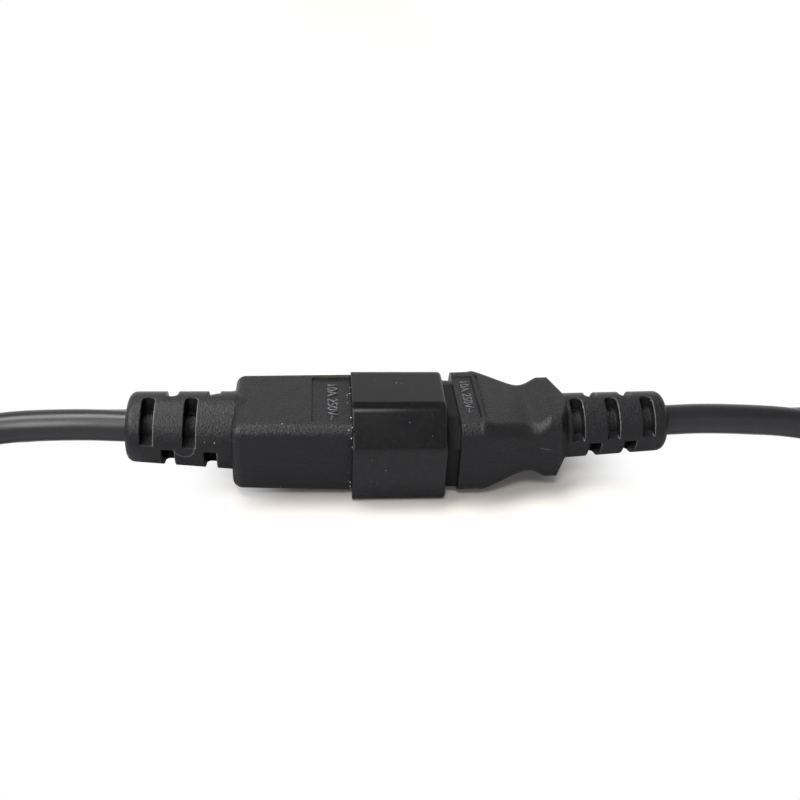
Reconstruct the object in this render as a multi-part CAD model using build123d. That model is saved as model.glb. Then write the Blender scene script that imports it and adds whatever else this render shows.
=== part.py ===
"""Mains extension lead with its appliance plug pushed into its own connector.

X runs along the two ends, from the plug to the connector, and Z is up. The lead lies on the flat
underside of the plug's shroud, whose middle is the origin. All sizes are in millimetres.
"""
import os
from math import cos, pi, radians, sin, tan

from build123d import *

# Shroud of the plug
SHROUD_WIDTH = 29.0
SHROUD_HEIGHT = 20.6
SHROUD_LENGTH = 20.8
SHROUD_CHAMFER = 7.2
SHROUD_EDGE = 1.2
SHROUD_TOP_EDGE = 3.5
MOUTH_ROUND = 1.0
CAVITY_DEPTH = 17.5
CAVITY_DROP = 0.85
CARRIER_WIDTH = 19.0
CARRIER_HEIGHT = 11.6
CARRIER_LENGTH = 8.0
CARRIER_EDGE = 1.0

# Nose and insert of the connector
NOSE_WIDTH = 23.8
NOSE_HEIGHT = 15.8
NOSE_CHAMFER = 5.2
NOSE_EDGE = 0.5
NOSE_EXPOSED = 2.8
NOSE_STANDOFF = 0.5
NOSE_CLEARANCE = 0.25
ROOT_WIDTH = 20.0
ROOT_HEIGHT = 12.0
ROOT_LENGTH = 8.0
FACE_WALL = 1.2

# Pins, contacts and the cores that are crimped into them
CONTACT_SPACING = 14.0
EARTH_RISE = 4.0
PIN_THICKNESS = 2.0
PIN_HEIGHT = 4.0
PIN_LENGTH = 14.5
EARTH_PIN_LENGTH = 16.0
PIN_TIP_CHAMFER = 0.6
CONTACT_WALL = 0.6
CONTACT_NECK = 1.5
BARREL_RADIUS = 1.6
BARREL_LENGTH = 5.0
BARREL_BORE_DEPTH = 4.2
CONDUCTOR_RADIUS = 0.7
CONDUCTOR_LENGTH = 4.0
CORE_RADIUS = 1.25
CORE_GAP = 0.2
CORE_LEAD = 2.0
CORE_BEND = 3.0

# Grip of the plug
GRIP_WIDTH = 24.8
GRIP_HEIGHT = 17.4
GRIP_LENGTH = 26.2
GRIP_CENTRE_Z = 8.9
GRIP_REAR_LIFT = 0.3
GRIP_DRAFT = 0.8
GRIP_EDGE = 2.6
GRIP_REAR_ROUND = 2.2
PLUG_PANEL_LENGTH = 8.8
PLUG_PANEL_WIDTH = 18.4
PLUG_PANEL_DEPTH = 0.4

# Waisted grip of the connector
BODY_CENTRE_Z = 9.15
BODY_LIFT = 2.3
BODY_WIDTH = 26.4
BODY_HEIGHT = 17.5
BODY_EDGE = 3.0
BODY_STRAIGHT = 4.5
BODY_TRIM = 0.6
WAIST_WIDTH = 20.9
WAIST_HEIGHT = 12.6
WAIST_FROM_FRONT = 16.7
RIDGE_WIDTH = 20.5
RIDGE_HEIGHT = 16.6
RIDGE_FROM_WAIST = 4.2
RIDGE_LENGTH = 1.9
SHOULDER_LENGTH = 2.4
SHOULDER_STEP = 0.3
CONNECTOR_PANEL_LENGTH = 6.3
CONNECTOR_PANEL_WIDTH = 18.0
CONNECTOR_PANEL_DEPTH = 0.15

# Slotted strain reliefs, which lift a little towards the cord
PLUG_RELIEF_Z = 9.3
PLUG_RELIEF_ROOT = 8.8
PLUG_RELIEF_END = 7.8
PLUG_RELIEF_LENGTH = 23.3
PLUG_RELIEF_LIFT = 2.9
PLUG_RELIEF_RUN_IN = 8.0
PLUG_RELIEF_RUN_IN_RADIUS = 7.6
PLUG_SLOT_FIRST = 4.75
PLUG_SLOT_PITCH = 4.6
PLUG_SLOT_COUNT = 4
CONNECTOR_RELIEF_ROOT = 7.5
CONNECTOR_RELIEF_END = 6.9
CONNECTOR_RELIEF_LENGTH = 23.5
CONNECTOR_RELIEF_LIFT = 3.1
CONNECTOR_SLOT_FIRST = 2.5
CONNECTOR_SLOT_PITCH = 4.05
CONNECTOR_SLOT_COUNT = 5
RELIEF_END_ROUND = 1.8
SLOT_WIDTH = 2.8
SLOT_END_ROUND = 1.2
SLOT_CORE_RADIUS = 4.3
SIDE_WEB = 0.4
SPINE_WEB = 0.3

# Cord
CORD_DIAMETER = 7.0
SHEATH_INSIDE = 2.0
LEAD_IN = 20.0
LEAD_OUT = 35.4

# Clearances between pieces that the moulding holds
MOULD_FIT = 0.05
PIN_FIT = 0.03
CONTACT_FIT = 0.04
CUT_PAST = 1.0

# Places along X that follow from the sizes above
AXIS_Z = SHROUD_HEIGHT / 2 - CAVITY_DROP
SHROUD_BACK = -SHROUD_LENGTH / 2
SHROUD_MOUTH = SHROUD_LENGTH / 2
CAVITY_FLOOR = SHROUD_MOUTH - CAVITY_DEPTH
CARRIER_BACK = SHROUD_BACK - CARRIER_LENGTH
NOSE_TIP = CAVITY_FLOOR + NOSE_STANDOFF
BODY_FRONT = SHROUD_MOUTH + NOSE_EXPOSED
INSERT_BACK = BODY_FRONT + ROOT_LENGTH
GRIP_BACK = SHROUD_BACK - GRIP_LENGTH
RIDGE_FROM_FRONT = WAIST_FROM_FRONT + RIDGE_FROM_WAIST
SHOULDER_FROM_FRONT = RIDGE_FROM_FRONT + RIDGE_LENGTH
BODY_LENGTH = SHOULDER_FROM_FRONT + SHOULDER_LENGTH
CORD_RADIUS = CORD_DIAMETER / 2

# Each pole's place across the plug, seen from its pins: sideways and up from the axis
POLES = {
    "line": (CONTACT_SPACING / 2, -EARTH_RISE / 2, PIN_LENGTH),
    "neutral": (-CONTACT_SPACING / 2, -EARTH_RISE / 2, PIN_LENGTH),
    "earth": (0.0, EARTH_RISE / 2, EARTH_PIN_LENGTH),
}


def lifted_frame(origin, lift, outward):
    """Frame of a moulding that lifts towards its cord: local Z runs along it, and local X points up."""
    along = Vector(outward * cos(radians(lift)), 0, sin(radians(lift)))
    up = Vector(-outward * sin(radians(lift)), 0, cos(radians(lift)))
    return Plane(origin=origin, x_dir=up, z_dir=along)


PLUG_RELIEF = lifted_frame((GRIP_BACK, 0, PLUG_RELIEF_Z), PLUG_RELIEF_LIFT, -1)
CONNECTOR_BODY = lifted_frame((BODY_FRONT, 0, BODY_CENTRE_Z), BODY_LIFT, 1)
CONNECTOR_RELIEF = lifted_frame(
    CONNECTOR_BODY.from_local_coords((0, 0, BODY_LENGTH)), CONNECTOR_RELIEF_LIFT, 1
)

# The cord's way over the surface it lies on, from the plug's strain relief round to the connector's.
# It leaves both ends level, comes down, turns in a wide loop and runs back behind the two ends.
CORD_ROUTE = [
    (-90.0, -0.5, 10.6),
    (-105.0, -6.5, 9.0),
    (-119.5, -20.5, 6.2),
    (-141.5, -21.0, 4.0),
    (-156.5, -5.5, 3.5),
    (-156.5, 14.5, 3.5),
    (-142.0, 29.5, 3.5),
    (-121.0, 30.0, 3.5),
    (-106.5, 15.5, 3.5),
    (-93.0, 10.6, 3.5),
    (-75.0, 11.0, 3.5),
    (-58.0, 12.6, 3.5),
    (-42.0, 19.0, 3.5),
    (-18.0, 24.5, 3.5),
    (4.0, 26.0, 3.5),
    (24.0, 23.0, 3.5),
    (44.0, 16.5, 3.5),
    (60.0, 12.9, 3.5),
    (80.0, 12.8, 3.5),
    (100.0, 12.2, 3.5),
    (113.5, 17.0, 3.5),
    (127.5, 30.5, 3.5),
    (148.5, 30.0, 3.5),
    (163.0, 15.5, 3.5),
    (163.0, -4.5, 3.5),
    (148.0, -20.0, 4.0),
    (126.0, -20.5, 6.4),
    (111.5, -7.0, 9.4),
    (97.0, -0.8, 11.3),
]
ARC_SHARE = 0.45


def station(x, z):
    """Plane across the lead at a place along X, with its local X sideways and its local Y up."""
    return Plane(origin=(x, 0, z), x_dir=(0, 1, 0), z_dir=(1, 0, 0))


def chamfered_outline(width, height, chamfer, edge, top_edge):
    """Rectangle whose two upper corners are cut at 45 degrees, standing on its own middle."""
    half_width = width / 2
    half_height = height / 2
    outline = Polygon(
        (-half_width, -half_height),
        (half_width, -half_height),
        (half_width, half_height - chamfer),
        (half_width - chamfer, half_height),
        (chamfer - half_width, half_height),
        (-half_width, half_height - chamfer),
        align=None,
    )
    top_corners = outline.vertices().group_by(Axis.Y)[-1]
    other_corners = outline.vertices() - top_corners
    outline = fillet(other_corners, edge)
    return fillet(outline.vertices().group_by(Axis.Y)[-1], top_edge)


def block(x_from, x_to, z, width, height):
    """Rectangular bar along X."""
    return extrude(station(x_from, z) * Rectangle(width, height), x_to - x_from)


def rod(x_from, x_to, y, z, radius):
    """Round bar along X."""
    return extrude(station(x_from, z) * Pos(y, 0) * Circle(radius), x_to - x_from)


def blade_bar(pole, x_from, x_to, margin):
    """Bar with a pin's section, widened all round by a margin."""
    y, rise, _ = POLES[pole]
    outline = Pos(y, rise) * Rectangle(PIN_THICKNESS + 2 * margin, PIN_HEIGHT + 2 * margin)
    return extrude(station(x_from, AXIS_Z) * outline, x_to - x_from)


def plug_shroud():
    """Hard shell round the pins, open at the mouth, with the pin carrier behind its floor."""
    outline = chamfered_outline(
        SHROUD_WIDTH, SHROUD_HEIGHT, SHROUD_CHAMFER, SHROUD_EDGE, SHROUD_TOP_EDGE
    )
    shell = extrude(station(SHROUD_BACK, SHROUD_HEIGHT / 2) * outline, SHROUD_LENGTH)
    shell = fillet(shell.faces().sort_by(Axis.X)[-1].edges(), MOUTH_ROUND)
    cavity_outline = chamfered_outline(
        NOSE_WIDTH + 2 * NOSE_CLEARANCE,
        NOSE_HEIGHT + 2 * NOSE_CLEARANCE,
        NOSE_CHAMFER,
        NOSE_EDGE,
        NOSE_EDGE,
    )
    cavity = extrude(station(CAVITY_FLOOR, AXIS_Z) * cavity_outline, CAVITY_DEPTH + CUT_PAST)
    body = shell - cavity + carrier(0)
    for pole in POLES:
        body -= blade_bar(pole, CARRIER_BACK - CUT_PAST, CAVITY_FLOOR + CUT_PAST, PIN_FIT)
    return body


def carrier(margin):
    """Block behind the shroud's floor that holds the pins, widened all round by a margin."""
    outline = RectangleRounded(
        CARRIER_WIDTH + 2 * margin, CARRIER_HEIGHT + 2 * margin, CARRIER_EDGE + margin
    )
    return extrude(station(CARRIER_BACK - margin, AXIS_Z) * outline, CARRIER_LENGTH + margin)


def crimp_barrel(pole, x_from, x_to, mouth):
    """Round barrel whose bore opens at the end named by mouth."""
    y, rise, _ = POLES[pole]
    inner = mouth + (BARREL_BORE_DEPTH if mouth < (x_from + x_to) / 2 else -BARREL_BORE_DEPTH)
    bore = rod(min(mouth, inner), max(mouth, inner), y, AXIS_Z + rise, CONDUCTOR_RADIUS + CONTACT_FIT)
    return rod(x_from, x_to, y, AXIS_Z + rise, BARREL_RADIUS) - bore


def plug_pin(pole):
    """Flat blade with a chamfered tip in the shroud and a crimp barrel behind the carrier."""
    tip = CAVITY_FLOOR + POLES[pole][2]
    blade = blade_bar(pole, CARRIER_BACK, tip, 0)
    blade = chamfer(blade.faces().sort_by(Axis.X)[-1].edges(), PIN_TIP_CHAMFER)
    mouth = CARRIER_BACK - BARREL_LENGTH
    return blade + crimp_barrel(pole, mouth, CARRIER_BACK, mouth)


def connector_insert():
    """Hard block with three chambers: the nose in front and a narrower root inside the moulding."""
    nose_outline = chamfered_outline(NOSE_WIDTH, NOSE_HEIGHT, NOSE_CHAMFER, NOSE_EDGE, NOSE_EDGE)
    nose = extrude(station(NOSE_TIP, AXIS_Z) * nose_outline, BODY_FRONT - NOSE_TIP)
    nose = chamfer(nose.faces().sort_by(Axis.X)[0].edges(), NOSE_EDGE)
    body = nose + block(BODY_FRONT, INSERT_BACK, AXIS_Z, ROOT_WIDTH, ROOT_HEIGHT)
    for pole in POLES:
        body -= blade_bar(pole, NOSE_TIP - CUT_PAST, NOSE_TIP + FACE_WALL, 2 * CONTACT_FIT)
        body -= blade_bar(
            pole, NOSE_TIP + FACE_WALL, INSERT_BACK + CUT_PAST, CONTACT_WALL + 2 * CONTACT_FIT
        )
    return body


def connector_contact(pole):
    """Folded sleeve that grips a pin, with a neck and a crimp barrel at its back."""
    front = NOSE_TIP + FACE_WALL
    barrel = INSERT_BACK - BARREL_LENGTH
    sleeve_end = barrel - CONTACT_NECK
    sleeve = blade_bar(pole, front, barrel, CONTACT_WALL + CONTACT_FIT)
    sleeve -= blade_bar(pole, front, sleeve_end, CONTACT_FIT)
    return sleeve + crimp_barrel(pole, barrel, INSERT_BACK, INSERT_BACK)


def core_path(pole, barrel_mouth, relief, outward):
    """Line of a core from its barrel to the end of the cord's sheath."""
    y, rise, _ = POLES[pole]
    bundle_radius = (CORE_RADIUS + CORE_GAP / 2) / sin(pi / 3)
    angle = {"line": -pi / 6, "neutral": -5 * pi / 6, "earth": pi / 2}[pole]
    side = bundle_radius * cos(angle)
    up = bundle_radius * sin(angle)
    sheath_end = relief.from_local_coords((up, -outward * side, -SHEATH_INSIDE))
    gathered = relief.from_local_coords((up, -outward * side, -SHEATH_INSIDE - CORE_LEAD))
    start = Vector(barrel_mouth, y, AXIS_Z + rise)
    spread = start + Vector(outward * CORE_LEAD, 0, 0)
    return FilletPolyline(start, spread, gathered, sheath_end, radius=CORE_BEND)


def core_sweep(path, radius):
    """Round wire along a core's line."""
    start = Plane(origin=path @ 0, z_dir=path % 0)
    return sweep(start * Circle(radius), path=path)


def core(pole, barrel_mouth, relief, outward):
    """Insulated core with the bare conductor that the barrel is crimped on."""
    y, rise, _ = POLES[pole]
    insulation = core_sweep(core_path(pole, barrel_mouth, relief, outward), CORE_RADIUS)
    inner = barrel_mouth - outward * CONDUCTOR_LENGTH
    ends = sorted((barrel_mouth, inner))
    return insulation + rod(*ends, y, AXIS_Z + rise, CONDUCTOR_RADIUS)


def core_channels(barrel_mouth, relief, outward):
    """Room in a moulding for its three cores."""
    channels = []
    for pole in POLES:
        path = core_path(pole, barrel_mouth, relief, outward)
        channels.append(core_sweep(path, CORE_RADIUS + MOULD_FIT))
    return channels


def strain_relief(root_radius, end_radius, length, first, pitch, count, front, upper_front_first):
    """Tapered round tail with quadrant slots that alternate from ring to ring.

    It stands on its local Z. Each ring is cut in two opposite quadrants, so that a thin web above,
    below and on each side joins the rings. front is the local Y sign of the near side.
    """
    tail = Cone(root_radius, end_radius, length, align=(Align.CENTER, Align.CENTER, Align.MIN))
    tail = fillet(tail.edges().sort_by(Axis.Z)[-1], RELIEF_END_ROUND)
    reach = root_radius + CUT_PAST
    for ring in range(count):
        upper_front = (ring % 2 == 0) == upper_front_first
        height = first + ring * pitch
        for up in (1, -1):
            side = front * up if upper_front else -front * up
            slot = Box(reach - SIDE_WEB, reach - SPINE_WEB, SLOT_WIDTH, align=Align.MIN)
            slot = fillet(slot.edges().filter_by(Axis.X).group_by(Axis.Y)[0], SLOT_END_ROUND)
            slot = Pos(SIDE_WEB, SPINE_WEB, height - SLOT_WIDTH / 2) * slot
            slot -= Cylinder(SLOT_CORE_RADIUS, length, align=(Align.CENTER, Align.CENTER, Align.MIN))
            if up < 0:
                slot = mirror(slot, Plane.YZ)
            if side < 0:
                slot = mirror(slot, Plane.XZ)
            tail -= slot
    return tail


def cord_bore(relief_length):
    """Straight hole in a strain relief for the cord, in the relief's own frame."""
    return Pos(0, 0, -SHEATH_INSIDE) * Cylinder(
        CORD_RADIUS + MOULD_FIT,
        relief_length + SHEATH_INSIDE + CUT_PAST,
        align=(Align.CENTER, Align.CENTER, Align.MIN),
    )


def plug_overmould():
    """Soft grip of the plug with the panel on its top and the strain relief behind it."""
    grip = loft(
        [
            station(GRIP_BACK, GRIP_CENTRE_Z + GRIP_REAR_LIFT)
            * RectangleRounded(GRIP_WIDTH - GRIP_DRAFT, GRIP_HEIGHT - GRIP_DRAFT, GRIP_EDGE),
            station(SHROUD_BACK, GRIP_CENTRE_Z) * RectangleRounded(GRIP_WIDTH, GRIP_HEIGHT, GRIP_EDGE),
        ]
    )
    grip = fillet(grip.faces().sort_by(Axis.X)[0].edges(), GRIP_REAR_ROUND)
    run_in = Pos(0, 0, -PLUG_RELIEF_RUN_IN) * Cone(
        PLUG_RELIEF_RUN_IN_RADIUS,
        PLUG_RELIEF_ROOT,
        PLUG_RELIEF_RUN_IN,
        align=(Align.CENTER, Align.CENTER, Align.MIN),
    )
    tail = strain_relief(
        PLUG_RELIEF_ROOT,
        PLUG_RELIEF_END,
        PLUG_RELIEF_LENGTH,
        PLUG_SLOT_FIRST,
        PLUG_SLOT_PITCH,
        PLUG_SLOT_COUNT,
        front=-1,
        upper_front_first=False,
    )
    body = grip + PLUG_RELIEF * (run_in + tail)
    panel = block(
        SHROUD_BACK - PLUG_PANEL_LENGTH,
        SHROUD_BACK + CUT_PAST,
        GRIP_CENTRE_Z + GRIP_HEIGHT / 2,
        PLUG_PANEL_WIDTH,
        2 * PLUG_PANEL_DEPTH,
    )
    body -= panel
    body -= carrier(MOULD_FIT)
    barrel_mouth = CARRIER_BACK - BARREL_LENGTH
    for y, rise, _ in POLES.values():
        body -= rod(barrel_mouth, CARRIER_BACK, y, AXIS_Z + rise, BARREL_RADIUS + MOULD_FIT)
    for channel in core_channels(barrel_mouth, PLUG_RELIEF, -1):
        body -= channel
    return body - PLUG_RELIEF * cord_bore(PLUG_RELIEF_LENGTH)


def blend(start, end, share):
    """Smooth step from one size to another."""
    return start + (end - start) * (1 - cos(pi * share)) / 2


def grip_section(distance, width, height, edge):
    """Rounded section of the connector's grip, at a distance behind its front."""
    return CONNECTOR_BODY.offset(distance) * RectangleRounded(height, width, edge)


def waisted_grip():
    """Connector's grip: straight in front, drawn in to a waist, out to a ridge and in to a shoulder.

    The grip lifts towards the cord, and its front is trimmed square with the nose.
    """
    sections = []
    for share in (0, 0.25, 0.5, 0.75, 1):
        sections.append(
            grip_section(
                BODY_STRAIGHT + (WAIST_FROM_FRONT - BODY_STRAIGHT) * share,
                blend(BODY_WIDTH, WAIST_WIDTH, share),
                blend(BODY_HEIGHT, WAIST_HEIGHT, share),
                BODY_EDGE,
            )
        )
    for share in (0.5, 1):
        sections.append(
            grip_section(
                WAIST_FROM_FRONT + RIDGE_FROM_WAIST * share,
                blend(WAIST_WIDTH, RIDGE_WIDTH, share),
                blend(WAIST_HEIGHT, RIDGE_HEIGHT, share),
                BODY_EDGE,
            )
        )
    front = extrude(
        grip_section(-BODY_TRIM, BODY_WIDTH, BODY_HEIGHT, BODY_EDGE), BODY_TRIM + BODY_STRAIGHT
    )
    front -= block(
        BODY_FRONT - 2 * BODY_TRIM, BODY_FRONT, BODY_CENTRE_Z, 2 * BODY_WIDTH, 2 * BODY_HEIGHT
    )
    ridge = extrude(grip_section(RIDGE_FROM_FRONT, RIDGE_WIDTH, RIDGE_HEIGHT, BODY_EDGE), RIDGE_LENGTH)
    shoulder_size = 2 * (CONNECTOR_RELIEF_ROOT + SHOULDER_STEP)
    shoulder = loft(
        [
            grip_section(SHOULDER_FROM_FRONT, RIDGE_WIDTH, RIDGE_HEIGHT, BODY_EDGE),
            grip_section(BODY_LENGTH, shoulder_size, shoulder_size, CONNECTOR_RELIEF_ROOT),
        ]
    )
    return front + loft(sections) + ridge + shoulder


def connector_overmould():
    """Soft grip of the connector with the panel on its top and the strain relief behind it."""
    tail = strain_relief(
        CONNECTOR_RELIEF_ROOT,
        CONNECTOR_RELIEF_END,
        CONNECTOR_RELIEF_LENGTH,
        CONNECTOR_SLOT_FIRST,
        CONNECTOR_SLOT_PITCH,
        CONNECTOR_SLOT_COUNT,
        front=1,
        upper_front_first=True,
    )
    tail += Pos(0, 0, -SHOULDER_LENGTH) * Cylinder(
        CONNECTOR_RELIEF_ROOT, SHOULDER_LENGTH, align=(Align.CENTER, Align.CENTER, Align.MIN)
    )
    body = waisted_grip() + CONNECTOR_RELIEF * tail
    panel = Box(
        2 * CONNECTOR_PANEL_DEPTH,
        CONNECTOR_PANEL_WIDTH,
        2 * CONNECTOR_PANEL_LENGTH,
    )
    body -= CONNECTOR_BODY * Pos(BODY_HEIGHT / 2, 0, 0) * panel
    body -= block(
        BODY_FRONT - CUT_PAST,
        INSERT_BACK,
        AXIS_Z,
        ROOT_WIDTH + 2 * MOULD_FIT,
        ROOT_HEIGHT + 2 * MOULD_FIT,
    )
    for channel in core_channels(INSERT_BACK, CONNECTOR_RELIEF, 1):
        body -= channel
    return body - CONNECTOR_RELIEF * cord_bore(CONNECTOR_RELIEF_LENGTH)


def arc_radii(points):
    """Radius at each inner point of a route, as large as its two runs allow."""
    radii = []
    for before, here, after in zip(points, points[1:], points[2:]):
        run_in = here - before
        run_out = after - here
        half_turn = radians(run_in.get_angle(run_out)) / 2
        radii.append(ARC_SHARE * min(run_in.length, run_out.length) / tan(half_turn))
    return radii


def cord():
    """Round cord from the sheath's end in the plug to the sheath's end in the connector."""
    sheath_ends = []
    leads = []
    corners = []
    for relief in (PLUG_RELIEF, CONNECTOR_RELIEF):
        sheath_ends.append(relief.from_local_coords((0, 0, -SHEATH_INSIDE)))
        leads.append(relief.from_local_coords((0, 0, LEAD_IN)))
        corners.append(relief.from_local_coords((0, 0, LEAD_OUT)))
    middle = [Vector(*point) for point in CORD_ROUTE]
    points = [leads[0], corners[0], *middle, corners[1], leads[1]]
    radii = arc_radii(points)
    print("cord radii:", [round(radius, 1) for radius in radii])
    route = FilletPolyline(*points, radius=radii)
    path = Wire(
        [
            *Line(sheath_ends[0], leads[0]).edges(),
            *route.edges(),
            *Line(leads[1], sheath_ends[1]).edges(),
        ]
    )
    start = Plane(origin=sheath_ends[0], z_dir=leads[0] - sheath_ends[0])
    tube = sweep(start * Circle(CORD_RADIUS), path=path)
    print("cord length:", round(path.length, 1), "volume:", round(tube.volume, 1))
    print("section times length:", round(pi * CORD_RADIUS**2 * path.length, 1))
    return tube


def build():
    """Makes every piece of the lead, by name."""
    pieces = {
        "plug_overmould": plug_overmould(),
        "plug_shroud": plug_shroud(),
        "connector_overmould": connector_overmould(),
        "connector_insert": connector_insert(),
        "cord": cord(),
    }
    for pole in POLES:
        pieces[f"plug_pin_{pole}"] = plug_pin(pole)
        pieces[f"plug_core_{pole}"] = core(pole, CARRIER_BACK - BARREL_LENGTH, PLUG_RELIEF, -1)
        pieces[f"connector_contact_{pole}"] = connector_contact(pole)
        pieces[f"connector_core_{pole}"] = core(pole, INSERT_BACK, CONNECTOR_RELIEF, 1)
    return pieces


os.makedirs("parts", exist_ok=True)
for name, piece in build().items():
    export_step(piece, f"parts/{name}.step")
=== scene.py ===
"""Dresses a mains extension lead whose plug is pushed into its own connector, and sets up its studio.

The lead lies along X on a pale floor at z = 0, plug to the left and connector to the right, as seen by a
camera on the -Y side. Sizes are millimetres in the fields below and metres in the scene.
"""
from __future__ import annotations

import logging
import math
from dataclasses import dataclass
from enum import Enum

import bpy
from mathutils import Matrix, Vector

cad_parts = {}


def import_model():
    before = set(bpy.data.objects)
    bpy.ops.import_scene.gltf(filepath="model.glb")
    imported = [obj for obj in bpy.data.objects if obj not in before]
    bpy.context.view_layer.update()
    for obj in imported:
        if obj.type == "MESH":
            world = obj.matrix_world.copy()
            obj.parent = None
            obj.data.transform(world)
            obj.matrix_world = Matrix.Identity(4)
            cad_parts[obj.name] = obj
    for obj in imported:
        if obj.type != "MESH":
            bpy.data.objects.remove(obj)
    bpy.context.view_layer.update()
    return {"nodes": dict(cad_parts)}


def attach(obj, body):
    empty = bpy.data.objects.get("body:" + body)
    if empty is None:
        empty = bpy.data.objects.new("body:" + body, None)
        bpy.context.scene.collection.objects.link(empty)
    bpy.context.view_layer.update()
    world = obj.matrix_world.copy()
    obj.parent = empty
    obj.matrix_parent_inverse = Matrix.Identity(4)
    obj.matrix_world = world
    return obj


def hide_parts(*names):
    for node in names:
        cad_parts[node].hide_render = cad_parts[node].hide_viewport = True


LOG = logging.getLogger("extension_lead")
MM = 0.001
BODY = "root"
RATING = "10A 250V~"


def linear(hex_colour: str) -> tuple[float, float, float, float]:
    """Turns an sRGB hex colour into linear RGBA.

    Args:
        hex_colour: six hex digits, such as "2a2a2c".

    Returns:
        Linear red, green, blue and an alpha of 1.
    """
    channels = []
    for start in (0, 2, 4):
        value = int(hex_colour[start : start + 2], 16) / 255
        channels.append(value / 12.92 if value <= 0.04045 else ((value + 0.055) / 1.055) ** 2.4)
    return (*channels, 1.0)


def per_mm(size_mm: float) -> float:
    """Texture scale, in repeats per metre, of a pattern whose features are size_mm wide."""
    return 1 / (size_mm * MM)


def add_node(
    tree: bpy.types.NodeTree,
    kind: str,
    settings: dict[str, object] | None = None,
    inputs: dict[str | int, object] | None = None,
) -> bpy.types.Node:
    """Adds a shader node, sets it up and links it.

    Args:
        tree: the node tree that gets the node.
        kind: the node's type, such as "ShaderNodeTexNoise".
        settings: the node's own properties, by name.
        inputs: values of input sockets by name or number; an output socket is linked instead.

    Returns:
        The new node.
    """
    node = tree.nodes.new(kind)
    for name, value in (settings or {}).items():
        setattr(node, name, value)
    for name, value in (inputs or {}).items():
        if isinstance(value, bpy.types.NodeSocket):
            tree.links.new(value, node.inputs[name])
        else:
            node.inputs[name].default_value = value
    return node


def new_tree(name: str) -> tuple[bpy.types.Material, bpy.types.NodeTree]:
    """Makes a material with an empty node tree.

    Args:
        name: the material's name.

    Returns:
        The material and its tree.
    """
    material = bpy.data.materials.new(name)
    material.use_nodes = True
    material.node_tree.nodes.clear()
    return material, material.node_tree


def finish_tree(tree: bpy.types.NodeTree, shader: bpy.types.NodeSocket) -> None:
    """Links a shader to the tree's output."""
    add_node(tree, "ShaderNodeOutputMaterial", None, {"Surface": shader})


class Pole(Enum):
    """The three conductors, with the colour of their insulation."""

    LINE = "6b3f24"
    NEUTRAL = "2f62a8"
    EARTH = "8fa52c"


@dataclass(frozen=True)
class Dust:
    """Sparse pale specks that cling to black plastic.

    Attributes:
        colour: sRGB colour of a speck.
        spacing_mm: size of the cells that may hold one speck each.
        radius_mm: radius of a speck.
        share: share of the cells that stay clean.
        core: share of the radius that is fully pale.
        band_mm: the stretch of X that holds specks, where they gather in a seam.
    """

    colour: str = "b9b9b6"
    spacing_mm: float = 2.8
    radius_mm: float = 0.12
    share: float = 0.55
    core: float = 0.5
    band_mm: tuple[float, float] = (-1000.0, 1000.0)

    def mask(self, tree: bpy.types.NodeTree, place: bpy.types.NodeSocket) -> bpy.types.NodeSocket:
        """Builds the specks' mask.

        Args:
            tree: the material's tree.
            place: texture coordinates in metres.

        Returns:
            A socket that is 1 on a speck and 0 elsewhere.
        """
        cells = add_node(
            tree, "ShaderNodeTexVoronoi", None, {"Vector": place, "Scale": per_mm(self.spacing_mm)}
        )
        split = add_node(tree, "ShaderNodeSeparateColor", None, {0: cells.outputs["Color"]})
        speck = add_node(
            tree,
            "ShaderNodeMapRange",
            {"interpolation_type": "SMOOTHSTEP"},
            {
                "Value": cells.outputs["Distance"],
                "From Min": self.radius_mm / self.spacing_mm,
                "From Max": self.core * self.radius_mm / self.spacing_mm,
            },
        )
        kept = add_node(
            tree,
            "ShaderNodeMath",
            {"operation": "GREATER_THAN"},
            {0: split.outputs["Red"], 1: self.share},
        )
        along = add_node(tree, "ShaderNodeSeparateXYZ", None, {0: place}).outputs["X"]
        first, last = self.band_mm
        inside = add_node(
            tree,
            "ShaderNodeMath",
            {"operation": "COMPARE"},
            {0: along, 1: (first + last) / 2 * MM, 2: (last - first) / 2 * MM},
        )
        mask = speck.outputs[0]
        for limit in (kept, inside):
            mask = add_node(
                tree, "ShaderNodeMath", {"operation": "MULTIPLY"}, {0: mask, 1: limit.outputs[0]}
            ).outputs[0]
        return mask


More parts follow.
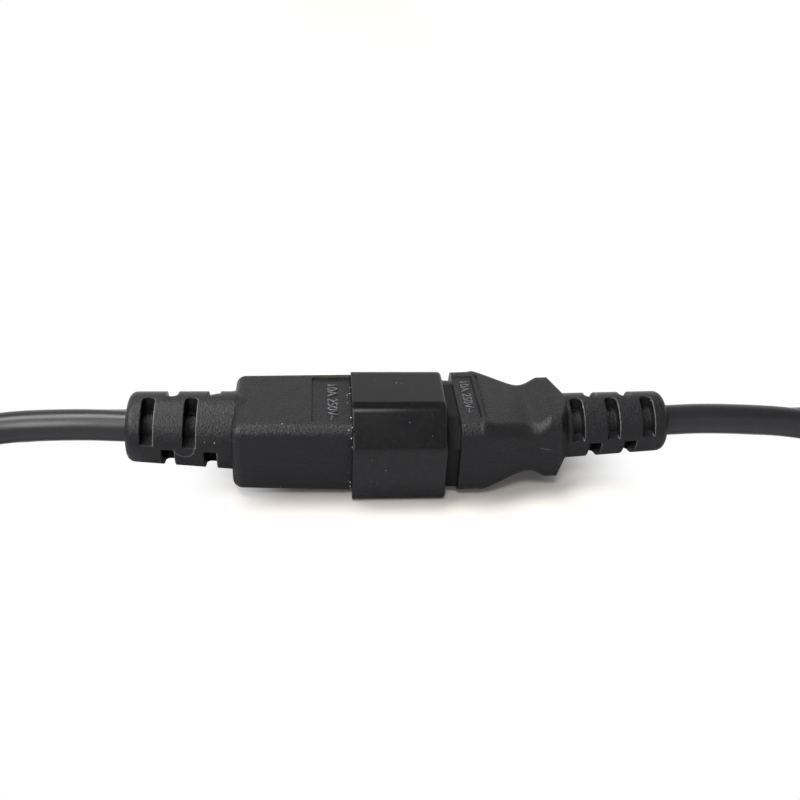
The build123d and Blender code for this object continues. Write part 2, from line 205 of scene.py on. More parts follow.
@dataclass(frozen=True)
class SurfaceLine:
    """Fine straight mark on a moulding, such as a scratch or a line that its mould left.

    Attributes:
        start_mm: one end, on the surface.
        end_mm: the other end.
        width_mm: its width.
        paleness: how far it turns the plastic pale, from 0 to 1.
        core: share of its width that is fully pale.
    """

    start_mm: tuple[float, float, float]
    end_mm: tuple[float, float, float]
    width_mm: float
    paleness: float
    core: float = 0.4

    def mask(self, tree: bpy.types.NodeTree, place: bpy.types.NodeSocket) -> bpy.types.NodeSocket:
        """Builds the line's mask.

        Args:
            tree: the material's tree.
            place: texture coordinates in metres.

        Returns:
            A socket that is the line's paleness along it and 0 elsewhere.
        """
        start = Vector(self.start_mm) * MM
        run = Vector(self.end_mm) * MM - start
        offset = add_node(tree, "ShaderNodeVectorMath", {"operation": "SUBTRACT"}, {0: place, 1: start})
        reach = add_node(
            tree,
            "ShaderNodeVectorMath",
            {"operation": "DOT_PRODUCT"},
            {0: offset.outputs[0], 1: run / run.length_squared},
        )
        share = add_node(tree, "ShaderNodeClamp", None, {"Value": reach.outputs["Value"]})
        nearest = add_node(
            tree, "ShaderNodeVectorMath", {"operation": "SCALE"}, {0: run, "Scale": share.outputs[0]}
        )
        gap = add_node(
            tree,
            "ShaderNodeVectorMath",
            {"operation": "DISTANCE"},
            {0: offset.outputs[0], 1: nearest.outputs[0]},
        )
        line = add_node(
            tree,
            "ShaderNodeMapRange",
            {"interpolation_type": "SMOOTHSTEP"},
            {
                "Value": gap.outputs["Value"],
                "From Min": self.width_mm / 2 * MM,
                "From Max": self.core * self.width_mm / 2 * MM,
                "To Max": self.paleness,
            },
        )
        return line.outputs[0]


def mould_crescent() -> tuple[SurfaceLine, ...]:
    """Crescent that an ejector left below a window of the plug's relief.

    Returns:
        The crescent as short lines that follow the round relief, in millimetres.
    """
    middle_x = -47.0
    middle_z = 9.9
    radius = 2.2
    relief_radius = 8.4
    relief_z = 9.8
    steps = 6
    width = 0.45
    paleness = 0.14
    points = []
    for step in range(steps + 1):
        angle = math.pi * (1 + step / steps)
        height = middle_z + radius * math.sin(angle)
        depth = math.sqrt(relief_radius**2 - (height - relief_z) ** 2)
        points.append((middle_x + radius * math.cos(angle), -depth, height))
    return tuple(SurfaceLine(a, b, width, paleness) for a, b in zip(points, points[1:]))


@dataclass(frozen=True)
class PaintedRimHighlight:
    """Painted highlight on the rim of each slot in a strain relief: paler where the rim turns towards -X,
    towards the lamps on the left.

    Attributes:
        paleness: how far the painted highlight turns a rim pale, from 0 to 1.
        past_mm: distance from the middle of the lead, along X, past which there are slots.
        axis_mm: height of the axis round which the slots lie.
        over_mm: distance from that axis past which there are rims.
        turn: X of a rounded normal where a rim begins, and where it is palest.
        least_tilt: least X of a plain normal on a rim, which keeps it off the slots' walls.
    """

    paleness: float = 0.4
    past_mm: float = 38.0
    axis_mm: float = 10.3
    over_mm: float = 5.7
    turn: tuple[float, float] = (-0.12, -0.45)
    least_tilt: float = -0.1

    def mask(
        self, tree: bpy.types.NodeTree, place: bpy.types.NodeSocket, rounded: bpy.types.NodeSocket
    ) -> bpy.types.NodeSocket:
        """Builds the rims' mask.

        Args:
            tree: the material's tree.
            place: texture coordinates in metres.
            rounded: normals with the sharp edges rounded.

        Returns:
            A socket that is the painted highlight's paleness on a rim and 0 elsewhere.
        """
        flat = add_node(tree, "ShaderNodeNewGeometry").outputs["Normal"]
        across = add_node(
            tree,
            "ShaderNodeVectorMath",
            {"operation": "MULTIPLY"},
            {0: place, 1: Vector((0.0, 1.0, 1.0))},
        )
        radius = add_node(
            tree,
            "ShaderNodeVectorMath",
            {"operation": "DISTANCE"},
            {0: across.outputs[0], 1: Vector((0.0, 0.0, self.axis_mm * MM))},
        )
        turned, tilt, along = [
            add_node(tree, "ShaderNodeSeparateXYZ", None, {0: vector}).outputs["X"]
            for vector in (rounded, flat, place)
        ]
        reach = add_node(tree, "ShaderNodeMath", {"operation": "ABSOLUTE"}, {0: along})
        begins, palest = self.turn
        mask = add_node(
            tree,
            "ShaderNodeMapRange",
            {"interpolation_type": "SMOOTHSTEP"},
            {"Value": turned, "From Min": begins, "From Max": palest, "To Max": self.paleness},
        ).outputs[0]
        limits = (
            (tilt, self.least_tilt),
            (reach.outputs[0], self.past_mm * MM),
            (radius.outputs["Value"], self.over_mm * MM),
        )
        for value, least in limits:
            passed = add_node(tree, "ShaderNodeMath", {"operation": "GREATER_THAN"}, {0: value, 1: least})
            mask = add_node(
                tree, "ShaderNodeMath", {"operation": "MULTIPLY"}, {0: mask, 1: passed.outputs[0]}
            ).outputs[0]
        return mask


# Short scratch on the flank of the connector's ridge
CONNECTOR_SCRATCH = SurfaceLine((31.4, -10.3, 10.97), (33.9, -10.3, 10.4), width_mm=0.3, paleness=0.16)
# Dust that has gathered in the seam between the plug's moulding and its shell
SEAM_DUST = Dust(spacing_mm=0.8, radius_mm=0.16, share=0.4, band_mm=(-11.3, -10.3))


@dataclass(frozen=True)
class MouldedPlastic:
    """Plastic from a mould or a die: soft PVC with or without grain, or a harder, smoother shell.

    Attributes:
        name: the material's name.
        colour: sRGB colour of the plastic.
        worn_colour: sRGB colour of its paler, rubbed patches.
        grain_colour: sRGB colour of the grain's rubbed tops.
        roughness: roughness of the plain surface.
        sheen: share of the usual reflection that the plastic gives.
        grain_mm: width of the mould's grain, drawn as coarse as it has to be to show.
        grain_depth_mm: depth of that grain.
        edge_mm: radius to which its sharp edges are rounded for the light.
        dust: the specks on it, one set for each size.
        marks: the lines on it.
        rim_highlight: the painted highlight on the rim of each slot, where it has slots.
        mark_and_rim_highlight_colour: sRGB colour of a line, and of the painted rim highlight, at full
            paleness.
        patch_mm: width of the rubbed patches.
        grain_tops: height of the grain, from 0 to 1, where its tops begin and where they are fully rubbed.
        roughness_spread: how far the patches raise or lower the roughness.
        ior: index of refraction.
        edge_samples: how many rays find an edge to round.
    """

    name: str
    colour: str
    worn_colour: str
    grain_colour: str
    roughness: float
    sheen: float
    grain_mm: float
    grain_depth_mm: float
    edge_mm: float = 0.25
    dust: tuple[Dust, ...] = (Dust(),)
    marks: tuple[SurfaceLine, ...] = ()
    rim_highlight: PaintedRimHighlight | None = None
    mark_and_rim_highlight_colour: str = "8a8a8a"
    patch_mm: float = 9.0
    grain_tops: tuple[float, float] = (0.46, 0.68)
    roughness_spread: float = 0.05
    ior: float = 1.5
    edge_samples: int = 6

    def material(self) -> bpy.types.Material:
        """Builds the node material.

        Returns:
            The finished material.
        """
        material, tree = new_tree(self.name)
        place = add_node(tree, "ShaderNodeTexCoord").outputs["Object"]
        grain = add_node(
            tree,
            "ShaderNodeTexNoise",
            None,
            {"Vector": place, "Scale": per_mm(self.grain_mm), "Detail": 2.0, "Roughness": 0.6},
        ).outputs["Fac"]
        patches = add_node(
            tree,
            "ShaderNodeTexNoise",
            None,
            {"Vector": place, "Scale": per_mm(self.patch_mm), "Detail": 3.0},
        ).outputs["Fac"]
        edges = add_node(
            tree, "ShaderNodeBevel", {"samples": self.edge_samples}, {"Radius": self.edge_mm * MM}
        ).outputs[0]
        tops_begin, tops_full = self.grain_tops
        tops = add_node(
            tree,
            "ShaderNodeMapRange",
            {"interpolation_type": "SMOOTHSTEP"},
            {"Value": grain, "From Min": tops_begin, "From Max": tops_full},
        ).outputs[0]
        layers = [(patches, self.worn_colour), (tops, self.grain_colour)]
        layers += [(line.mask(tree, place), self.mark_and_rim_highlight_colour) for line in self.marks]
        # Painted highlight: each slot rim that turns towards -X, towards the lamps on the left, is made
        # paler
        if self.rim_highlight:
            layers.append((self.rim_highlight.mask(tree, place, edges), self.mark_and_rim_highlight_colour))
        layers += [(specks.mask(tree, place), specks.colour) for specks in self.dust]
        surface = linear(self.colour)
        for mask, colour in layers:
            surface = add_node(
                tree,
                "ShaderNodeMix",
                {"data_type": "RGBA"},
                {"Factor": mask, 6: surface, 7: linear(colour)},
            ).outputs[2]
        rough = add_node(
            tree,
            "ShaderNodeMapRange",
            None,
            {
                "Value": patches,
                "To Min": self.roughness - self.roughness_spread,
                "To Max": self.roughness + self.roughness_spread,
            },
        )
        bump = add_node(
            tree,
            "ShaderNodeBump",
            None,
            {
                "Height": grain,
                "Strength": 1.0,
                "Distance": self.grain_depth_mm * MM,
                "Normal": edges,
            },
        )
        shader = add_node(
            tree,
            "ShaderNodeBsdfPrincipled",
            None,
            {
                "Base Color": surface,
                "Roughness": rough.outputs[0],
                "IOR": self.ior,
                "Specular IOR Level": self.sheen,
                "Normal": bump.outputs["Normal"],
            },
        )
        finish_tree(tree, shader.outputs[0])
        return material


@dataclass(frozen=True)
class StampedBrass:
    """Stamped and folded brass of the pins and contacts: bright, with faint drawing lines along X.

    Attributes:
        name: the material's name.
        colour: sRGB colour of the brass.
        roughness: its roughness between the lines.
        roughness_spread: how far the lines raise or lower that.
        line_mm: width of a drawing line.
        line_stretch: scale of the pattern along X, beside 1 across it.
    """

    name: str = "stamped_brass"
    colour: str = "c9a55a"
    roughness: float = 0.3
    roughness_spread: float = 0.1
    line_mm: float = 0.2
    line_stretch: float = 0.02

    def material(self) -> bpy.types.Material:
        """Builds the node material.

        Returns:
            The finished material.
        """
        material, tree = new_tree(self.name)
        place = add_node(tree, "ShaderNodeTexCoord").outputs["Object"]
        stretched = add_node(
            tree,
            "ShaderNodeMapping",
            None,
            {"Vector": place, "Scale": Vector((self.line_stretch, 1.0, 1.0))},
        )
        lines = add_node(
            tree,
            "ShaderNodeTexNoise",
            None,
            {"Vector": stretched.outputs[0], "Scale": per_mm(self.line_mm)},
        )
        rough = add_node(
            tree,
            "ShaderNodeMapRange",
            None,
            {
                "Value": lines.outputs["Fac"],
                "To Min": self.roughness - self.roughness_spread,
                "To Max": self.roughness + self.roughness_spread,
            },
        )
        shader = add_node(
            tree,
            "ShaderNodeBsdfPrincipled",
            None,
            {"Base Color": linear(self.colour), "Metallic": 1.0, "Roughness": rough.outputs[0]},
        )
        finish_tree(tree, shader.outputs[0])
        return material


# Soft PVC from a spark-eroded mould: nearly matt black, with a pebbled grain that catches the light
MOULDED_PVC = MouldedPlastic(
    "spark_eroded_pvc",
    colour="0d0d0e",
    worn_colour="101011",
    grain_colour="141416",
    roughness=0.36,
    sheen=0.16,
    grain_mm=0.45,
    grain_depth_mm=0.17,
    edge_mm=0.4,
    dust=(Dust(), SEAM_DUST),
    marks=(CONNECTOR_SCRATCH, *mould_crescent()),
    # painted highlight on each slot rim that faces the lamps on the left
    rim_highlight=PaintedRimHighlight(),
)
# The same PVC on raised letters, smoother, and painted paler as a highlight on the letters' edges
LETTER_HIGHLIGHT_PVC = MouldedPlastic(
    "rubbed_pvc",
    colour="38383a",
    worn_colour="3e3e40",
    grain_colour="464648",
    roughness=0.36,
    sheen=0.4,
    grain_mm=0.42,
    grain_depth_mm=0.02,
    dust=(),
)
# Hard thermoplastic from a polished mould: deep black that mirrors lamps as streaks
GLOSS_SHELL = MouldedPlastic(
    "polished_moulded_shell",
    colour="121213",
    worn_colour="141415",
    grain_colour="171718",
    roughness=0.13,
    sheen=0.175,
    grain_mm=1.4,
    grain_depth_mm=0.002,
    edge_mm=0.6,
    dust=(Dust(share=0.85), Dust(spacing_mm=1.0, radius_mm=0.06, share=0.75)),
)
# Hard thermoplastic from a plain mould: flat black
INSERT_PLASTIC = MouldedPlastic(
    "satin_moulded_insert",
    colour="0a0a0b",
    worn_colour="0c0c0d",
    grain_colour="0e0e0f",
    roughness=0.4,
    sheen=0.1,
    grain_mm=0.5,
    grain_depth_mm=0.01,
)
# Extruded PVC: smooth and a little grey, with a long highlight
CORD_PVC = MouldedPlastic(
    "extruded_cord_pvc",
    colour="101012",
    worn_colour="131315",
    grain_colour="151517",
    roughness=0.32,
    sheen=0.31,
    grain_mm=0.9,
    grain_depth_mm=0.006,
    dust=(Dust(share=0.9),),
)


@dataclass
class StrainRelief:
    """Axis of a slotted strain relief.

    Attributes:
        root_mm: middle of the relief where it meets its grip.
        lift_deg: angle by which it rises towards the cord.
        outward: +1 where it points along +X, -1 along -X.
        length_mm: length from the grip to its end.
    """

    root_mm: tuple[float, float, float]
    lift_deg: float
    outward: int
    length_mm: float

    def point(self, distance_mm: float) -> Vector:
        """Finds a point on the axis.

        Args:
            distance_mm: its distance from the root, towards the cord.

        Returns:
            The point, in millimetres.
        """
        lift = math.radians(self.lift_deg)
        along = Vector((self.outward * math.cos(lift), 0.0, math.sin(lift)))
        return Vector(self.root_mm) + along * distance_mm


@dataclass
class Cord:
    """Round three-core cord from the plug's relief, round behind the two ends, to the connector's.

    Attributes:
        plug: the relief at which it starts.
        connector: the relief at which it ends.
        diameter_mm: outer diameter of the sheath.
        length_mm: length of the cord.
        sheath_inside_mm: how far the sheath runs past each relief's root.
        lead_out_mm: distance from each root to the route's first and last corner.
        spline_order: order of the spline through the corners.
        round_steps: points added round each half of the sheath.
        run_steps: steps from one corner to the next.
        route_mm: the route's corners between those two, lying on the floor apart from both ends.
    """

    plug: StrainRelief
    connector: StrainRelief
    diameter_mm: float = 7.0
    length_mm: float = 650.0
    sheath_inside_mm: float = 2.0
    lead_out_mm: float = 35.4
    spline_order: int = 3
    round_steps: int = 8
    run_steps: int = 16
    route_mm: tuple[tuple[float, float, float], ...] = (
        (-90.0, -0.5, 10.6),
        (-105.0, -6.5, 9.0),
        (-119.5, -20.5, 6.2),
        (-141.5, -21.0, 4.0),
        (-156.5, -5.5, 3.5),
        (-156.5, 14.5, 3.5),
        (-142.0, 29.5, 3.5),
        (-121.0, 30.0, 3.5),
        (-106.5, 15.5, 3.5),
        (-93.0, 9.0, 3.5),
        (-75.0, 11.6, 3.5),
        (-58.0, 11.0, 3.5),
        (-42.0, 19.0, 3.5),
        (-18.0, 24.5, 3.5),
        (4.0, 26.0, 3.5),
        (24.0, 23.0, 3.5),
        (44.0, 16.5, 3.5),
        (60.0, 12.6, 3.5),
        (80.0, 12.4, 3.5),
        (100.0, 10.6, 3.5),
        (113.5, 12.8, 3.5),
        (127.5, 30.5, 3.5),
        (148.5, 30.0, 3.5),
        (163.0, 15.5, 3.5),
        (163.0, -4.5, 3.5),
        (148.0, -20.0, 4.0),
        (126.0, -20.5, 6.4),
        (111.5, -7.0, 9.4),
        (97.0, -0.8, 11.3),
    )

    def control_points(self) -> list[Vector]:
        """Finds the control points of the cord's spline.

        Returns:
            The points, in millimetres, from sheath end to sheath end.
        """
        inside = -self.sheath_inside_mm
        start = [self.plug.point(d) for d in (inside, self.plug.length_mm, self.lead_out_mm)]
        end = [self.connector.point(d) for d in (self.lead_out_mm, self.connector.length_mm, inside)]
        return start + [Vector(point) for point in self.route_mm] + end

    def build(self) -> bpy.types.Object:
        """Returns:
            The cord's object.
        """
        curve = bpy.data.curves.new("cord_sheath", "CURVE")
        curve.dimensions = "3D"
        curve.bevel_depth = self.diameter_mm / 2 * MM
        curve.bevel_resolution = self.round_steps
        curve.resolution_u = self.run_steps
        curve.use_fill_caps = True
        points = self.control_points()
        spline = curve.splines.new("NURBS")
        spline.points.add(len(points) - 1)
        for control, point in zip(spline.points, points):
            control.co = (*(point * MM), 1.0)
        spline.order_u = self.spline_order
        spline.use_endpoint_u = True
        piece = bpy.data.objects.new("cord_sheath", curve)
        bpy.context.scene.collection.objects.link(piece)
        curve.materials.append(CORD_PVC.material())
        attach(piece, BODY)
        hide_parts("cord")
        tuple(self.plug.point(self.plug.length_mm) * MM)
        LOG.info("cord of %.0f mm", self.length_mm)
        return piece


@dataclass
class RaisedRating:
    """Plain rating in raised letters that run across a moulding's panel.

    Attributes:
        name: the piece's name.
        words: what it says.
        middle_mm: its middle, on the panel.
        lift_deg: angle by which the panel rises along X.
        size_mm: size of the letters.
        relief_mm: how far they stand out.
        curve_steps: steps along each curve of a letter.
    """

    name: str
    words: str
    middle_mm: tuple[float, float, float]
    lift_deg: float
    size_mm: float
    relief_mm: float
    curve_steps: int = 4

    def build(self, finish: bpy.types.Material) -> bpy.types.Object:
        """Makes the letters and dresses them.

        Args:
            finish: the letters' material.

        Returns:
            The letters' object.
        """
        bpy.ops.object.select_all(action="DESELECT")
        bpy.ops.object.text_add(location=(0.0, 0.0, 0.0))
        text = bpy.context.object
        text.data.body = self.words
        text.data.size = self.size_mm * MM
        text.data.align_x = "CENTER"
        text.data.align_y = "CENTER"
        text.data.extrude = self.relief_mm * MM
        text.data.resolution_u = self.curve_steps
        bpy.ops.object.convert(target="MESH")
        letters = bpy.context.object
        letters.name = self.name
        letters.matrix_world = (
            Matrix.Translation(Vector(self.middle_mm) * MM)
            @ Matrix.Rotation(-math.radians(self.lift_deg), 4, "Y")
            @ Matrix.Rotation(-math.pi / 2, 4, "Z")
        )
        bpy.ops.object.transform_apply(location=True, rotation=True, scale=True)
        letters.data.materials.clear()
        letters.data.materials.append(finish)
        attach(letters, BODY)
        LOG.info("raised rating %s", self.name)
        return letters


@dataclass
class Mouldings:
    """The two moulded ends and what they hold, which keep their own meshes and get their finishes.

    Attributes:
        nodes: the loaded pieces, by name.
        ratings: the raised letters on the two panels.
    """

    nodes: dict[str, bpy.types.Object]
    ratings: tuple[RaisedRating, ...] = (
        RaisedRating(
            "plug_rating",
            words=RATING,
            middle_mm=(-14.7, -0.6, 17.2),
            lift_deg=0.0,
            size_mm=3.3,
            relief_mm=0.2,
        ),
        RaisedRating(
            "connector_rating",
            words=RATING,
            middle_mm=(15.7, 0.6, 17.85),
            lift_deg=2.3,
            size_mm=2.9,
            relief_mm=0.1,
        ),
    )

    def insulation(self, pole: Pole) -> MouldedPlastic:
        """Chooses the finish of a core: extruded PVC in one plain colour, half glossy and clean.

        Args:
            pole: the core's conductor.

        Returns:
            The finish.
        """
        return MouldedPlastic(
            f"core_pvc_{pole.name.lower()}",
            colour=pole.value,
            worn_colour=pole.value,
            grain_colour=pole.value,
            roughness=0.4,
            sheen=0.4,
            grain_mm=0.4,
            grain_depth_mm=0.005,
            dust=(),
        )

    def dress(self) -> None:
        """Gives every piece its finish."""
        pvc = MOULDED_PVC.material()
        # The letters' PVC is painted pale as a highlight on their edges
        rubbed = LETTER_HIGHLIGHT_PVC.material()
        brass = StampedBrass().material()
        finishes = {
            "plug_overmould": pvc,
            "connector_overmould": pvc,
            "plug_shroud": GLOSS_SHELL.material(),
            "connector_insert": INSERT_PLASTIC.material(),
        }
        for pole in Pole:
            core = self.insulation(pole).material()
            for end, metal in (("plug", "pin"), ("connector", "contact")):
                finishes[f"{end}_{metal}_{pole.name.lower()}"] = brass
                finishes[f"{end}_core_{pole.name.lower()}"] = core
        for name, material in finishes.items():
            node = self.nodes[name]
            node.data.materials.clear()
            node.data.materials.append(material)
            LOG.info("dressed %s", name)
        for rating in self.ratings:
            rating.build(rubbed)


@dataclass
class StudioCamera:
    """Camera at the photograph's viewing angle.

    Attributes:
        place_mm: where it stands.
        elevation_deg: how far it looks down.
        yaw_deg: how far it is turned towards +X.
        roll_deg: how far it is tipped about its own line of sight.
        focal_px: focal length in pixels of the frame.
        frame_px: width of the frame in pixels.
        sensor_mm: width of the sensor.
        clip_m: distance from which it sees.
    """

    place_mm: tuple[float, float, float] = (-17.7, -182.4, 133.2)
    elevation_deg: float = 32.32
    yaw_deg: float = 5.72
    roll_deg: float = 2.92
    focal_px: float = 963.0
    frame_px: float = 800.0
    sensor_mm: float = 36.0
    clip_m: float = 0.01

    def build(self) -> bpy.types.Object:
        """Makes the camera and gives it to the scene.

        Returns:
            The camera's object.
        """
        data = bpy.data.cameras.new("studio_camera")
        data.sensor_width = self.sensor_mm
        data.lens = self.focal_px / self.frame_px * self.sensor_mm
        data.clip_start = self.clip_m
        camera = bpy.data.objects.new("studio_camera", data)
        turn = (
            Matrix.Rotation(-math.radians(self.yaw_deg), 4, "Z")
            @ Matrix.Rotation(math.radians(90 - self.elevation_deg), 4, "X")
            @ Matrix.Rotation(math.radians(self.roll_deg), 4, "Z")
        )
        camera.matrix_world = Matrix.Translation(Vector(self.place_mm) * MM) @ turn
        bpy.context.scene.collection.objects.link(camera)
        bpy.context.scene.camera = camera
        return camera


@dataclass
class Softbox:
    """Large soft lamp.

    Attributes:
        name: the lamp's name.
        place_m: where it hangs.
        aim_m: the point it faces.
        size_m: its two sides.
        watts: its power.
        flagged: what a flag keeps its light off, by the studio's names.
    """

    name: str
    place_m: tuple[float, float, float]
    aim_m: tuple[float, float, float]
    size_m: tuple[float, float]
    watts: float
    flagged: tuple[str, ...] = ()

    def build(self, things: dict[str, bpy.types.Object]) -> bpy.types.Object:
        """Makes the lamp.

        Args:
            things: the objects that a flag may stand before, by name.

        Returns:
            The lamp's object.
        """
        data = bpy.data.lights.new(self.name, "AREA")
        data.shape = "RECTANGLE"
        data.size, data.size_y = self.size_m
        data.energy = self.watts
        lamp = bpy.data.objects.new(self.name, data)
        aim = Vector(self.aim_m) - Vector(self.place_m)
        turn = aim.to_track_quat("-Z", "Y").to_matrix().to_4x4()
        lamp.matrix_world = Matrix.Translation(Vector(self.place_m)) @ turn
        bpy.context.scene.collection.objects.link(lamp)
        if self.flagged:
            flags = bpy.data.collections.new(f"{self.name}_flags")
            for thing in self.flagged:
                flags.objects.link(things[thing])
            for member in flags.collection_objects:
                member.light_linking.link_state = "EXCLUDE"
            lamp.light_linking.receiver_collection = flags
        return lamp


@dataclass
class Studio:
    """Pale floor, white surroundings and soft lamps.

    Attributes:
        shroud: the glossy shell, which a flag keeps the overhead softbox off.
        floor_size_m: side of the floor.
        floor_colour: sRGB colour of the floor, as it lights the lead and mirrors in it.
        shown_colour: sRGB colour of the floor to the camera, which tints its shadow.
        glow: share of the floor's white that doesn't depend on the lamps, as seen by the camera.
        brightness: share of the shown colour that the lit floor has to the camera.
        shadow_span_mm: the stretch of X over which the floor shows a shadow.
        shadow_fade_mm: how far past that the floor has turned white.
        ambient: strength of the surroundings' light on the lead.
        backdrop_top: height of a direction, from 0 to 1, up to which the surroundings mirror as white.
        backdrop_fade: how far above that they have faded to the ambient light.
        lamps: the soft lamps.
    """

    shroud: bpy.types.Object
    floor_size_m: float = 4.0
    floor_colour: str = "f1f2f6"
    shown_colour: str = "f8f2ec"
    glow: float = 0.06
    brightness: float = 0.85
    shadow_span_mm: tuple[float, float] = (-22.0, 32.0)
    shadow_fade_mm: float = 26.0
    ambient: float = 0.14
    backdrop_top: float = 0.58
    backdrop_fade: float = 0.14
    lamps: tuple[Softbox, ...] = (
        Softbox(
            "overhead_softbox",
            place_m=(-0.3, 0.32, 1.3),
            aim_m=(-0.03, 0.0, 0.01),
            size_m=(0.9, 0.5),
            watts=22.0,
            flagged=("shroud",),
        ),
        Softbox(
            "front_left_softbox",
            place_m=(-0.7, -0.95, 0.95),
            aim_m=(-0.02, 0.0, 0.01),
            size_m=(0.75, 0.75),
            watts=28.0,
            flagged=("floor",),
        ),
        Softbox(
            "left_softbox",
            place_m=(-1.05, -0.2, 1.05),
            aim_m=(0.0, 0.0, 0.01),
            size_m=(0.6, 0.6),
            watts=24.0,
            flagged=("floor",),
        ),
        Softbox(
            "overhead_panel",
            place_m=(-0.15, -0.55, 1.3),
            aim_m=(-0.15, -0.55, 0.0),
            size_m=(0.5, 0.46),
            watts=5.8,
        ),
    )

    def seen_directly(self, tree: bpy.types.NodeTree) -> bpy.types.NodeSocket:
        """Marks what the camera sees.

        Args:
            tree: the material's tree.

        Returns:
            A socket that is 1 for what is seen directly, mirrored or through glass, and else 0.
        """
        path = add_node(tree, "ShaderNodeLightPath")
        glossy = add_node(
            tree,
            "ShaderNodeMath",
            {"operation": "MAXIMUM"},
            {0: path.outputs["Is Glossy Ray"], 1: path.outputs["Is Transmission Ray"]},
        )
        seen = add_node(
            tree,
            "ShaderNodeMath",
            {"operation": "MAXIMUM"},
            {0: path.outputs["Is Camera Ray"], 1: glossy.outputs[0]},
        )
        return seen.outputs[0]

    def past_shadow(self, tree: bpy.types.NodeTree) -> bpy.types.NodeSocket:
        """Marks the floor past both ends of the lead's shadow.

        Args:
            tree: the floor's tree.

        Returns:
            A socket that rises from 0 to 1 past the shadow's ends.
        """
        place = add_node(tree, "ShaderNodeTexCoord").outputs["Object"]
        along = add_node(tree, "ShaderNodeSeparateXYZ", None, {0: place}).outputs["X"]
        first, last = self.shadow_span_mm
        middle = (first + last) / 2 * MM
        half = (last - first) / 2 * MM
        offset = add_node(tree, "ShaderNodeMath", {"operation": "SUBTRACT"}, {0: along, 1: middle})
        distance = add_node(tree, "ShaderNodeMath", {"operation": "ABSOLUTE"}, {0: offset.outputs[0]})
        past = add_node(
            tree,
            "ShaderNodeMapRange",
            {"interpolation_type": "SMOOTHSTEP"},
            {
                "Value": distance.outputs[0],
                "From Min": half,
                "From Max": half + self.shadow_fade_mm * MM,
            },
        )
        return past.outputs[0]

    def floor(self) -> bpy.types.Object:
        """Makes the floor, white to the camera but for the lead's soft shadow.

        Returns:
            The floor's object.
        """
        material, tree = new_tree("studio_floor")
        plain = linear(self.floor_colour)
        tint = linear(self.shown_colour)
        bright = tuple(self.brightness * channel for channel in tint)
        camera = add_node(tree, "ShaderNodeLightPath").outputs["Is Camera Ray"]
        seen = self.seen_directly(tree)
        colour = add_node(
            tree, "ShaderNodeMix", {"data_type": "RGBA"}, {"Factor": camera, 6: plain, 7: bright}
        )
        matt = add_node(tree, "ShaderNodeBsdfDiffuse", None, {"Color": colour.outputs[2]})
        glow = add_node(tree, "ShaderNodeEmission", None, {"Color": tint, "Strength": self.glow})
        dark = add_node(tree, "ShaderNodeEmission", None, {"Strength": 0.0})
        shown = add_node(
            tree, "ShaderNodeMixShader", None, {0: seen, 1: dark.outputs[0], 2: glow.outputs[0]}
        )
        both = add_node(tree, "ShaderNodeAddShader", None, {0: matt.outputs[0], 1: shown.outputs[0]})
        white = add_node(tree, "ShaderNodeEmission", None, {"Strength": 1.0})
        whitened = add_node(
            tree, "ShaderNodeMath", {"operation": "MULTIPLY"}, {0: camera, 1: self.past_shadow(tree)}
        )
        faded = add_node(
            tree,
            "ShaderNodeMixShader",
            None,
            {0: whitened.outputs[0], 1: both.outputs[0], 2: white.outputs[0]},
        )
        finish_tree(tree, faded.outputs[0])
        bpy.ops.object.select_all(action="DESELECT")
        bpy.ops.mesh.primitive_plane_add(size=self.floor_size_m, location=(0.0, 0.0, 0.0))
        floor = bpy.context.object
        floor.name = "studio_floor"
        floor.data.materials.append(material)
        return floor

    def backdrop(self, tree: bpy.types.NodeTree) -> bpy.types.NodeSocket:
        """Marks the white backdrop.

        Args:
            tree: the world's tree.

        Returns:
            A socket that is 1 for what the camera sees, and for mirrored directions below the top.
        """
        path = add_node(tree, "ShaderNodeLightPath")
        direction = add_node(tree, "ShaderNodeTexCoord").outputs["Generated"]
        height = add_node(tree, "ShaderNodeSeparateXYZ", None, {0: direction})
        low = add_node(
            tree,
            "ShaderNodeMapRange",
            {"interpolation_type": "SMOOTHSTEP"},
            {
                "Value": height.outputs["Z"],
                "From Min": self.backdrop_top + self.backdrop_fade,
                "From Max": self.backdrop_top,
            },
        )
        mirrored = add_node(
            tree,
            "ShaderNodeMath",
            {"operation": "MULTIPLY"},
            {0: path.outputs["Is Glossy Ray"], 1: low.outputs[0]},
        )
        direct = add_node(
            tree,
            "ShaderNodeMath",
            {"operation": "MAXIMUM"},
            {0: path.outputs["Is Camera Ray"], 1: path.outputs["Is Transmission Ray"]},
        )
        both = add_node(
            tree,
            "ShaderNodeMath",
            {"operation": "MAXIMUM"},
            {0: direct.outputs[0], 1: mirrored.outputs[0]},
        )
        return both.outputs[0]

    def surroundings(self) -> None:
        """Sets the world: a white backdrop, and softer light on the lead from all round."""
        world = bpy.data.worlds.new("studio_white")
        world.use_nodes = True
        tree = world.node_tree
        tree.nodes.clear()
        white = (1.0, 1.0, 1.0, 1.0)
        light = add_node(tree, "ShaderNodeBackground", None, {"Color": white, "Strength": self.ambient})
        shown = add_node(tree, "ShaderNodeBackground", None, {"Color": white, "Strength": 1.0})
        mixed = add_node(
            tree,
            "ShaderNodeMixShader",
            None,
            {0: self.backdrop(tree), 1: light.outputs[0], 2: shown.outputs[0]},
        )
        add_node(tree, "ShaderNodeOutputWorld", None, {"Surface": mixed.outputs[0]})
        bpy.context.scene.world = world

    def build(self) -> None:
        """Makes the floor, the surroundings and the lamps."""
        things = {"floor": self.floor(), "shroud": self.shroud}
        self.surroundings()
        for lamp in self.lamps:
            lamp.build(things)
        bpy.context.scene.view_settings.view_transform = "Standard"


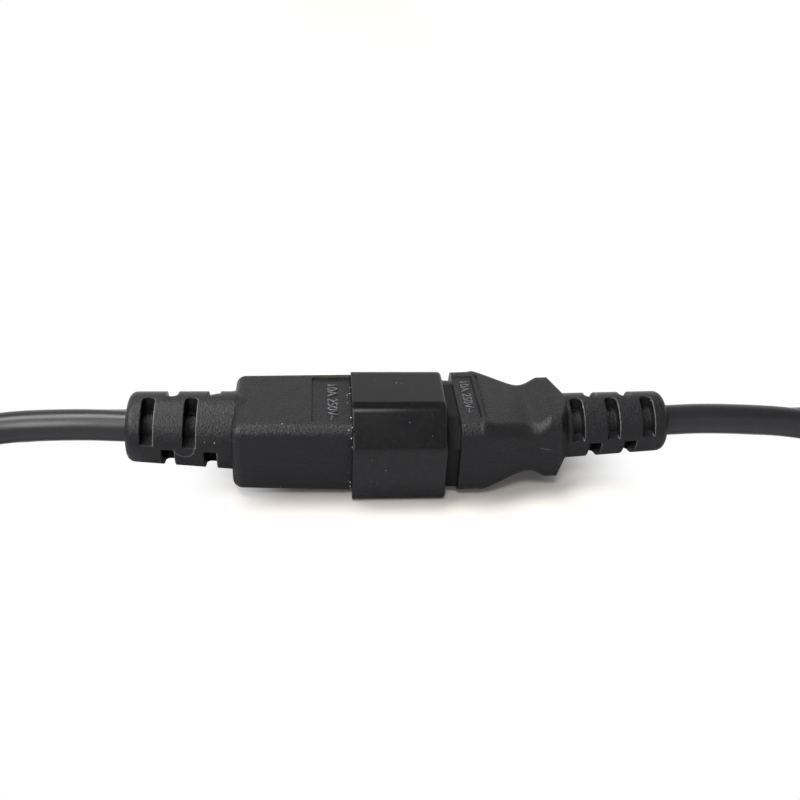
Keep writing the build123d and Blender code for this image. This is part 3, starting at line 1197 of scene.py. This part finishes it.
def main() -> None:
    """Loads the frame and builds the lead's looks and its studio."""
    logging.basicConfig(level=logging.INFO)
    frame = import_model()
    StudioCamera().build()
    plug = StrainRelief(root_mm=(-36.6, 0.0, 9.3), lift_deg=2.9, outward=-1, length_mm=23.3)
    connector = StrainRelief(root_mm=(38.38, 0.0, 10.161), lift_deg=3.1, outward=1, length_mm=23.5)
    Cord(plug, connector).build()
    Mouldings(frame["nodes"]).dress()
    Studio(frame["nodes"]["plug_shroud"]).build()


if __name__ == "__main__":
    main()
